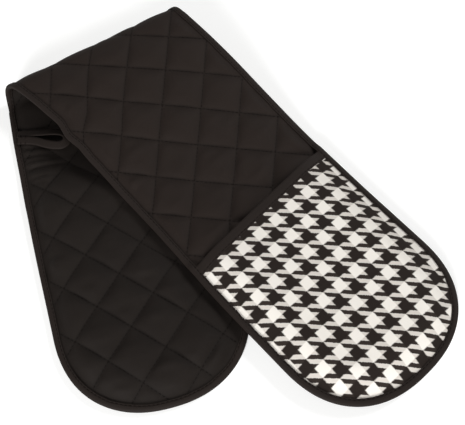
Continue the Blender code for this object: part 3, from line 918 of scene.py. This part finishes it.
def stitchTree():
    # a small rounded stitch on every point of the paths, turned along them
    tree = bpy.data.node_groups.new("stitches", "GeometryNodeTree")
    kinds = {"Geometry": "Geometry", "Stitch Length": "Float", "Gap": "Float", "Thread Width": "Float",
             "Thread Depth": "Float", "Seed": "Int", "Thread": "Material"}
    for label, kind in kinds.items():
        tree.interface.new_socket(label, in_out="INPUT", socket_type="NodeSocket" + kind)
    tree.interface.new_socket("Geometry", in_out="OUTPUT", socket_type="NodeSocketGeometry")
    given = addNode(tree, "NodeGroupInput").outputs
    curve = addNode(tree, "GeometryNodeMeshToCurve", {0: given["Geometry"]}).outputs[0]
    spacing = mathNode(tree, "ADD", given["Stitch Length"], given["Gap"])
    points = addNode(tree, "GeometryNodeCurveToPoints", {"Curve": curve, "Length": spacing},
                     mode="LENGTH").outputs
    along = addNode(tree, "FunctionNodeAlignRotationToVector", {"Vector": points["Tangent"]},
                    axis="X").outputs[0]
    up = addNode(tree, "GeometryNodeInputNamedAttribute", {"Name": "up"}, data_type="FLOAT_VECTOR").outputs[0]
    upright = addNode(tree, "FunctionNodeAlignRotationToVector", {"Rotation": along, "Vector": up},
                      axis="Z", pivot_axis="X").outputs[0]
    ball = addNode(tree, "GeometryNodeMeshUVSphere",
                   {"Segments": stitch["segments"], "Rings": stitch["rings"], "Radius": 0.5}).outputs["Mesh"]
    size = addNode(tree, "ShaderNodeCombineXYZ",
                   {0: given["Thread Depth"], 1: given["Thread Width"], 2: given["Stitch Length"]}).outputs[0]
    shape = addNode(tree, "GeometryNodeTransform",
                    {"Geometry": ball, "Scale": size, "Rotation": (0.0, math.pi / 2, 0.0)}).outputs[0]
    spread = addNode(tree, "FunctionNodeRandomValue",
                     {"Min": stitch["least"], "Max": stitch["most"], "Seed": given["Seed"]},
                     data_type="FLOAT_VECTOR").outputs["Value"]
    laid = addNode(tree, "GeometryNodeInstanceOnPoints",
                   {"Points": points["Points"], "Instance": shape, "Rotation": upright, "Scale": spread})
    real = addNode(tree, "GeometryNodeRealizeInstances", {0: laid.outputs[0]})
    soft = addNode(tree, "GeometryNodeSetShadeSmooth", {"Geometry": real.outputs[0]})
    dyed = addNode(tree, "GeometryNodeSetMaterial",
                   {"Geometry": soft.outputs[0], "Material": given["Thread"]})
    addNode(tree, "NodeGroupOutput", {0: dyed.outputs[0]})
    return tree


stitches = stitchTree()


def stitchPiece(name, runs, body):
    # one mesh of all the stitches along the runs; a run is its points and the ways out of the cloth
    points = np.concatenate([run for run, _ in runs])
    ways = np.concatenate([way for _, way in runs])
    ends = np.cumsum([len(run) for run, _ in runs])
    chained = np.setdiff1d(np.arange(len(points) - 1), ends - 1)
    mesh = bpy.data.meshes.new(name + "Guide")
    mesh.from_pydata(points.tolist(), np.stack([chained, chained + 1], axis=1).tolist(), [])
    mesh.attributes.new("up", "FLOAT_VECTOR", "POINT").data.foreach_set("vector", ways.ravel())
    guide = linked(name + "Guide", mesh)
    modifier = guide.modifiers.new("stitches", "NODES")
    modifier.node_group = stitches
    values = {"Stitch Length": stitch["length"], "Gap": stitch["gap"], "Thread Width": stitch["width"],
              "Thread Depth": stitch["depth"], "Seed": stitch["seed"], "Thread": blackThread}
    for socket in stitches.interface.items_tree:
        if socket.in_out == "INPUT" and socket.name in values:
            modifier[socket.identifier] = values[socket.name]
    depsgraph = bpy.context.evaluated_depsgraph_get()
    sewn = linked(name, bpy.data.meshes.new_from_object(guide.evaluated_get(depsgraph)))
    bpy.data.objects.remove(guide)
    finishPiece(sewn, body, [])


def outward(side, s, t, level):
    # the way out of a smooth face of the strip
    step = stitch["length"] / 4
    along = place(side, s + step, t, level * edgeHalf) - place(side, s - step, t, level * edgeHalf)
    across = place(side, s, t + step, level * edgeHalf) - place(side, s, t - step, level * edgeHalf)
    return unit(level * np.cross(along, across))


def quiltRuns(side, level):
    # the quilting's stitch lines that can be seen on one face of a half
    reach, fine = stitch["traceReach"], stitch["tracePoints"]
    steps = np.arange(-reach * fine, reach * fine + 1) / fine
    runs = []
    for number in range(-reach, reach + 1):
        steady = np.full_like(steps, number)
        for u, v in ((steady, steps), (steps, steady)):
            s, t = quiltPlace(side, u, v)
            shown = (side * fromFold(s, t) > 0.0) & (side * s < strip["length"][side])
            shown &= insetAt(side, s, t) > squeezeInset + stitch["gap"]
            if level > 0:
                shown &= side * (s - mouthAt(side, t)) < pocket["bandWidth"]
            marks = np.flatnonzero(np.diff(np.concatenate(([0], shown, [0]))))
            for begin, end in zip(marks[::2], marks[1::2]):
                if end - begin > 2:    # a shorter run holds no stitch
                    here, there = s[begin:end], t[begin:end]
                    height = quiltFace(side, here, there, level) + stitch["lift"]
                    runs.append((place(side, here, there, level * height), outward(side, here, there, level)))
    return runs


def seamRuns(sections):
    # along both hems of a folded tape, whose sections have the seams at these corners
    upper, lower = (sections[:, corner] for corner in tapeForm["seams"])
    way = unit(upper - lower)
    return [(upper + stitch["lift"] * way, way), (lower - stitch["lift"] * way, -way)]


# Quilted strip

def apexRow(offset, insets, side):
    # a row parallel to the fold's middle line, this far from it
    ends = {}
    for edge in (-1, 1):
        places = [foldEnd(edge, inset) for inset in insets]
        ends[edge] = [(s + side * offset / cosSkew, t) for s, t in places]
    low, high = ends[-1][-1], ends[1][-1]
    count = round((high[1] - low[1]) / quilt["rowSpacing"])
    inner = [tuple(p) for p in np.linspace(low, high, count + 1)[1:-1]]
    return ends[-1] + inner + ends[1][::-1]


def quiltPlan(side):
    clear = quilt["clear"]
    insets = [clothInset] + [squeezeInset + step for step in quilt["ringSteps"]]
    walk = edgeWalk(side, quilt["ringSpacing"])
    rings = [np.array([stopPoint(side, stop, inset) for stop in walk]) for inset in insets]
    rings = [ring[side * fromFold(*ring.T) > clear["row"]] for ring in rings]
    rows = [apexRow(offset, insets, side) for offset in quilt["rowSteps"]]
    outline = [tuple(p) for p in rings[0]] + (rows[0] if side == back else rows[0][::-1])
    steps = quilt["steps"]
    reach = int(quilt["reach"] * strip["length"][side] / quilt["pitch"][side]) * steps
    grid = np.arange(-reach, reach + 1) / steps
    s, t = quiltPlace(side, *(axis.ravel() for axis in np.meshgrid(grid, grid)))
    keep = (abs(t) < strip["foldHalfWidth"]) & (side * s < strip["length"][side])
    keep &= side * fromFold(s, t) > clear["points"]
    s, t = s[keep], t[keep]
    inside = insetAt(side, s, t) > insets[-1] + clear["ring"]
    return fillPlan(outline, rings[1:] + rows[1:], np.stack([s[inside], t[inside]], axis=1))


def quiltPiece(side, name, body):
    def height(s, t, level):
        return level * quiltFace(side, s, t, level)

    def pattern(s, t):
        return quiltAt(side, s, t)

    return paddedPiece(name, body, side, quiltPlan(side), height, ("quilt", pattern),
                       [outerCotton, shadedInnerCotton])


frontQuilt = quiltPiece(front, "frontQuilt", "front")
backQuilt = quiltPiece(back, "backQuilt", "back")
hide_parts("front_outer_cloth", "front_wadding", "front_inner_cloth",
            "fold_outer_cloth", "fold_wadding")
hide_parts("back_outer_cloth", "back_wadding", "back_inner_cloth", "fold_inner_cloth")


# Pockets

checkRepeat = {"start": (0.3641, -0.0020), "first": (0.02135, -0.000843), "second": (0.000046, -0.02081)}


def checkAt(s, t):
    # pattern coordinates on the front pocket: one repeat of the check per unit
    x, y = s - checkRepeat["start"][0], t + swayAt(front, s) - checkRepeat["start"][1]
    a, b = checkRepeat["first"]
    c, d = checkRepeat["second"]
    size = a * d - b * c
    return (x * d - y * c) / size, (y * a - x * b) / size


def pocketPlan(side):
    clear, band, ramp = pocket["clear"], pocket["bandWidth"], pocket["pinchRamp"]
    insets = [clothInset] + [squeezeInset + step for step in pocket["ringSteps"]]
    walk = edgeWalk(side, pocket["ringSpacing"])
    rings = [np.array([stopPoint(side, stop, inset) for stop in walk]) for inset in insets]
    rings = [ring[side * (ring[:, 0] - mouthAt(side, ring[:, 1])) > clothInset + clear["mouth"]]
             for ring in rings]
    t = np.linspace(-1, 1, pocket["mouthPoints"]) * (strip["halfWidth"] - clothInset) * -side
    depths = (clothInset, band - layers["tape"], band + layers["tape"], band + ramp)
    mouths = [np.stack([mouthAt(side, t) + side * depth, t], axis=1) for depth in depths]
    outline = np.concatenate([rings[0], mouths[0][::-1]])
    low, high = sorted((mouthAt(side, 0.0), side * strip["length"][side]))
    s, t = (axis.ravel() for axis in np.meshgrid(
        np.arange(low, high, pocket["spacing"]),
        np.arange(-strip["halfWidth"], strip["halfWidth"], pocket["spacing"])))
    deep = side * (s - mouthAt(side, t)) - band
    keep = (insetAt(side, s, t) > insets[-1] + clear["ring"]) & (deep > clear["band"])
    keep &= abs(deep - ramp) > clear["ramp"]
    return fillPlan(outline, rings[1:] + mouths[1:], np.stack([s[keep], t[keep]], axis=1))


def pocketPiece(side, name, body):
    def height(s, t, level):
        wave = sum(size * softNoise(s, t, length, seed) for size, length, seed in pocket["waves"])
        middle = pocketMiddle(side, s, t) + wave * edgeRise(side, s, t) * mouthShare(side, s, t)
        return middle + level * pocketHalfAt(side, s, t)

    return paddedPiece(name, body, side, pocketPlan(side), height, ("check", checkAt),
                       [checkCotton, liningCotton])


frontPocket = pocketPiece(front, "frontPocket", "front_half")
backPocket = pocketPiece(back, "backPocket", "back_half")
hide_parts("front_pocket_cloth", "front_pocket_wadding", "front_pocket_lining")
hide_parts("back_pocket_cloth", "back_pocket_wadding", "back_pocket_lining")


# Tape round the edge and over the pockets' mouths

tapeForm = {
    "hem": (0.0001, 0.0003),                                  # how far its edge goes out and down
    "groove": ((0.0005, 0.4), (0.0, 1.0), (-0.0006, 0.3)),    # at the seam: places, shares of its depth
    "crowns": (0.3, 0.7, 1.0),                                # places from the seam to the bend
    "crownTurn": (0.15, 0.6),
    "bend": (1.15, 0.55),             # where the bend starts, as shares of the height and the width
    "rim": (0.2, 5, 0.65, 0.7),       # first angle, points, squareness and share of the crown
    "seams": (3, 21),                 # corners of the section that lie in the seams
}


def tapeSection(width, low, high, form):
    # a folded tape: outside from its upper hem round the edge to its lower hem, then inside
    middle, half = (low + high) / 2, (high - low) / 2 + wrap
    bend = min(half * tapeForm["bend"][0], width * tapeForm["bend"][1])
    (out, down), (phase, turn) = tapeForm["hem"], tapeForm["crownTurn"]
    seam, crown = width - form["seamInset"], form["crown"]
    upper = [(width + out, half - down), (width - out, half)]
    upper += [(seam + step, half - form["seamDepth"] * share) for step, share in tapeForm["groove"]]
    start = upper[-1][0]
    for share in tapeForm["crowns"]:
        rise = math.sin(math.pi * (phase + turn * share))
        upper.append((start + share * (bend - start), half + crown * rise))
    first, count, squareness, crownShare = tapeForm["rim"]
    for angle in np.linspace(first, math.pi / 2, count):
        reach = (half + crown * crownShare) * math.cos(angle) ** squareness
        upper.append((bend * (1 - math.sin(angle)), reach))
    lower = [(inset, -height) for inset, height in upper[:-1][::-1]]
    wall = half - layers["tape"]
    inner = [(width, -wall), (bend, -wall), (layers["tape"], 0.0), (bend, wall), (width, wall)]
    return np.array([(inset, middle + height) for inset, height in upper + lower + inner])


def girthOf(profile):
    return np.concatenate(([0.0], np.cumsum(np.hypot(*np.diff(profile, axis=0).T))))


def closedTube(name, sections, uvs, flip):
    # quads between the sections, and one face over each end
    count, size = sections.shape[:2]
    faces = [tuple(range(size))]
    for k in range(count - 1):
        for i in range(size):
            a, b = k * size + i, k * size + (i + 1) % size
            faces.append((a, b, b + size, a + size))
    faces.append(tuple((count - 1) * size + i for i in reversed(range(size))))
    if flip:
        faces = [face[::-1] for face in faces]
    piece = newPiece(name, sections.reshape(-1, 3), faces)
    addUv(piece, "cloth", uvs.reshape(-1, 2))
    smooth(piece, (0, len(faces) - 1))
    return piece


binding = {
    "spacing": 0.0022,
    "seamInset": 0.0013,
    "seamDepth": 0.00018,
    "crown": 0.00022,
    "stackRun": 0.010,
    "ripple": (0.00035, 0.009, 41),    # size, length and seed
    "rippleStart": 0.003,
}


def bindingPiece(side, name, body):
    walk = edgeWalk(side, binding["spacing"])
    walk[0], walk[-1] = ("fold", -side, 0.0), ("fold", side, 0.0)
    size, length, seed = binding["ripple"]
    sections, uvs, travelled, last = [], [], 0.0, None
    for stop in walk:
        outer = np.array(stopPoint(side, stop, 0.0))
        deep = side * (outer[0] - mouthAt(side, outer[1]))
        high = edgeHalf + ease(deep / binding["stackRun"] + 1.0) * (edgeStack - edgeHalf)
        profile = tapeSection(layers["bindingWidth"], -edgeHalf, high, binding)
        if last is not None:
            travelled += math.hypot(*(outer - last))
        last = outer
        ripple = size * softNoise(travelled, 0.0, length, seed) * (stop[0] != "fold")
        insets = profile[:, 0] + ripple * (profile[:, 0] > binding["rippleStart"])
        flat = np.array([stopPoint(side, stop, inset) for inset in insets])
        sections.append(place(side, *flat.T, profile[:, 1]))
        uvs.append(np.stack([np.full(len(profile), travelled), girthOf(profile)], axis=1))
    piece = closedTube(name, np.array(sections), np.array(uvs), side == front)
    finishPiece(piece, body, [bindingTape])
    return piece, seamRuns(np.array(sections))


frontBinding, frontSeams = bindingPiece(front, "frontBinding", "front")
backBinding, backSeams = bindingPiece(back, "backBinding", "back")
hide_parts("front_binding", "fold_binding_left")
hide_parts("back_binding", "fold_binding_right")
stitchPiece("frontStitches", quiltRuns(front, 1) + quiltRuns(front, -1) + frontSeams, "front")
stitchPiece("backStitches", quiltRuns(back, 1) + quiltRuns(back, -1) + backSeams, "back")


mouthBand = {
    "seamInset": 0.0016,
    "seamDepth": 0.00025,
    "crown": 0.0001,
    "lip": (0.0012, 0.6),              # how deep it is, and how far it is pressed
    "underBinding": 0.0012,
    "sections": 81,
    "ripple": (0.0003, 0.014, 51),     # size, length and seed
}


def mouthBandPiece(side, name, body):
    # a tape folded over the pocket's free edge, between the bindings
    profile = tapeSection(pocket["bandWidth"], -pinchedHalf, pinchedHalf, mouthBand)
    (lip, share), (size, length, seed) = mouthBand["lip"], mouthBand["ripple"]
    profile[:, 0] *= np.where(profile[:, 0] < lip, share, 1.0)
    reach = strip["halfWidth"] - squeezeInset + mouthBand["underBinding"]
    sections, uvs = [], []
    for t in np.linspace(-reach, reach, mouthBand["sections"]):
        across = np.full(len(profile), t)
        s = mouthAt(side, t) + side * profile[:, 0]
        height = pocketMiddle(side, s, across) + profile[:, 1] + size * softNoise(t, 0.0, length, seed)
        sections.append(place(side, s, across, height))
        uvs.append(np.stack([across, girthOf(profile)], axis=1))
    piece = closedTube(name, np.array(sections), np.array(uvs), True)
    finishPiece(piece, body, [bindingTape])
    stitchPiece(name + "Stitches", seamRuns(np.array(sections)), body)
    return piece


frontBand = mouthBandPiece(front, "frontMouthBand", "front_half")
backBand = mouthBandPiece(back, "backMouthBand", "back_half")
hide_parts("front_mouth_band")
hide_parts("back_mouth_band")


# Hanging loop

tapeLoop = {
    "width": 0.0085,
    "thickness": 0.0012,
    "crown": 1.08,
    "lean": (6, 16),              # degrees at its ends, and how many more at its tip
    "pathSteps": 6,
    "tacks": (2, 4, -5, -3),      # where it is sewn down
    "tackReach": 0.8,
    "tackPoints": 5,
    "path": [(-0.0765, -0.0862, 0.0000), (-0.0775, -0.0800, 0.0003), (-0.0802, -0.0703, 0.0012),
             (-0.0835, -0.0600, 0.0027), (-0.0867, -0.0498, 0.0037), (-0.0905, -0.0420, 0.0042),
             (-0.0958, -0.0388, 0.0042), (-0.1006, -0.0400, 0.0039), (-0.1028, -0.0450, 0.0035),
             (-0.1012, -0.0515, 0.0031), (-0.0968, -0.0598, 0.0024), (-0.0914, -0.0675, 0.0018),
             (-0.0878, -0.0750, 0.0015), (-0.0845, -0.0862, 0.0013)],
    "corners": [(-1.0, 0.0), (-0.93, 0.8), (-0.55, 1.0), (0.0, 1.08), (0.55, 1.0), (0.93, 0.8),
                (1.0, 0.0), (0.93, -0.8), (0.55, -1.0), (0.0, -1.0), (-0.55, -1.0), (-0.93, -0.8)],
}


def loopPiece():
    # a narrow tape that turns on itself, sewn to the binding of the back half's outer edge
    path = np.array(tapeLoop["path"])
    half, thin = tapeLoop["width"] / 2, tapeLoop["thickness"] / 2
    fine = []
    for k in range(len(path) - 1):
        near = [path[min(max(k + i, 0), len(path) - 1)] for i in (-1, 0, 1, 2)]
        for x in np.arange(tapeLoop["pathSteps"]) / tapeLoop["pathSteps"]:
            fine.append(sum(share * point for share, point in zip(cubicWeights(x), near)))
    s, t, rise = np.array(fine + [path[-1]]).T
    height = puffHalf + edgeHalf + wrap + layers["gap"] + thin + rise
    line = np.stack([*backPlan(s, t), height], axis=1) + foldMiddle + tuckAt(s, t)
    run = unit(np.gradient(line, axis=0))
    length = np.concatenate(([0.0], np.cumsum(np.linalg.norm(np.diff(line, axis=0), axis=1))))
    endLean, tipLean = tapeLoop["lean"]
    lean = np.radians(endLean + tipLean * np.sin(np.pi * length / length[-1]))[:, None]
    side = unit(np.cross(run, [0, 0, 1]))
    across = side * np.cos(lean) + np.cross(side, run) * np.sin(lean)
    out = np.cross(across, run)
    sections = np.array([[p + x * half * a + y * thin * o for x, y in tapeLoop["corners"]]
                         for p, a, o in zip(line, across, out)])
    uvs = np.array([[(along, x * half) for x, _ in tapeLoop["corners"]] for along in length])
    piece = closedTube("hangingLoop", sections, uvs, False)
    finishPiece(piece, "loop", [bindingTape])
    count, lift = tapeLoop["tackPoints"], tapeLoop["crown"] * thin + stitch["lift"]
    reach = np.linspace(-tapeLoop["tackReach"], tapeLoop["tackReach"], count)[:, None] * half
    tacks = [(line[k] + reach * across[k] + lift * out[k], np.repeat(out[k][None], count, axis=0))
             for k in tapeLoop["tacks"]]
    stitchPiece("loopStitches", tacks, "loop")
    return piece


hangingLoop = loopPiece()
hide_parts("hanging_loop")


# Floor, light and camera

studio = {
    "floorHalf": 4.0,
    "floorColour": (0.62, 0.62, 0.61, 1.0),
    "floorRoughness": 0.95,
    "floorSpecular": 0.1,
    "floorGlow": 0.50,
    "sky": (0.84, 0.16),      # how much brighter it is where it is seen, and its light on the object
    "lamps": {
        "keyLight": {"place": (1.71, -2.54, 1.24), "size": 1.4, "power": 162.0},
        "fillLight": {"place": (0.15, 2.60, 2.0), "size": 1.2, "power": 85.0},
    },
    "lens": 66.09,
    "cameraPlace": (0.4990, -0.2153, 0.7548),    # from the fold's middle
    "cameraTurn": (23.4424, 2.4873, 47.0741),
}


def seenRays(tree):
    # 1 for what is seen, straight or in a gloss or through glass, and 0 for light on the object
    rays = addNode(tree, "ShaderNodeLightPath").outputs
    seen = mathNode(tree, "MAXIMUM", rays["Is Camera Ray"], rays["Is Glossy Ray"])
    return mathNode(tree, "MAXIMUM", seen, rays["Is Transmission Ray"])


def floorMaterial():
    material, tree, surface = newMaterial("paleFloor")
    setInputs(tree, surface, {"Base Color": studio["floorColour"], "Roughness": studio["floorRoughness"],
                              "Specular IOR Level": studio["floorSpecular"]})
    glow = addNode(tree, "ShaderNodeEmission",
                   {"Strength": mathNode(tree, "MULTIPLY", seenRays(tree), studio["floorGlow"])})
    both = addNode(tree, "ShaderNodeAddShader", {0: surface.outputs[0], 1: glow.outputs[0]})
    setInputs(tree, tree.nodes["Material Output"], {"Surface": both.outputs[0]})
    return material


corners = np.array([(-1, -1, 0), (1, -1, 0), (1, 1, 0), (-1, 1, 0)]) * studio["floorHalf"]
floor = newPiece("floor", corners, [(0, 1, 2, 3)])
floor.data.materials.append(floorMaterial())

world = bpy.data.worlds.new("studio")
bpy.context.scene.world = world
world.use_nodes = True
worldTree = world.node_tree
sky = mathNode(worldTree, "MULTIPLY_ADD", seenRays(worldTree), *studio["sky"])
setInputs(worldTree, worldTree.nodes["Background"], {"Color": (1.0, 1.0, 1.0, 1.0), "Strength": sky})

for name, lamp in studio["lamps"].items():
    light = bpy.data.lights.new(name, "AREA")
    light.size, light.energy = lamp["size"], lamp["power"]
    lampObject = linked(name, light)
    lampObject.location = lamp["place"]
    lampObject.rotation_euler = (-Vector(lamp["place"])).to_track_quat("-Z", "Y").to_euler()

cameraObject = linked("camera", bpy.data.cameras.new("camera"))
cameraObject.data.lens = studio["lens"]
cameraObject.location = foldMiddle + studio["cameraPlace"]
cameraObject.rotation_euler = [math.radians(angle) for angle in studio["cameraTurn"]]
bpy.context.scene.camera = cameraObject
bpy.context.scene.view_settings.view_transform = "Standard"
print("floor, light and camera")
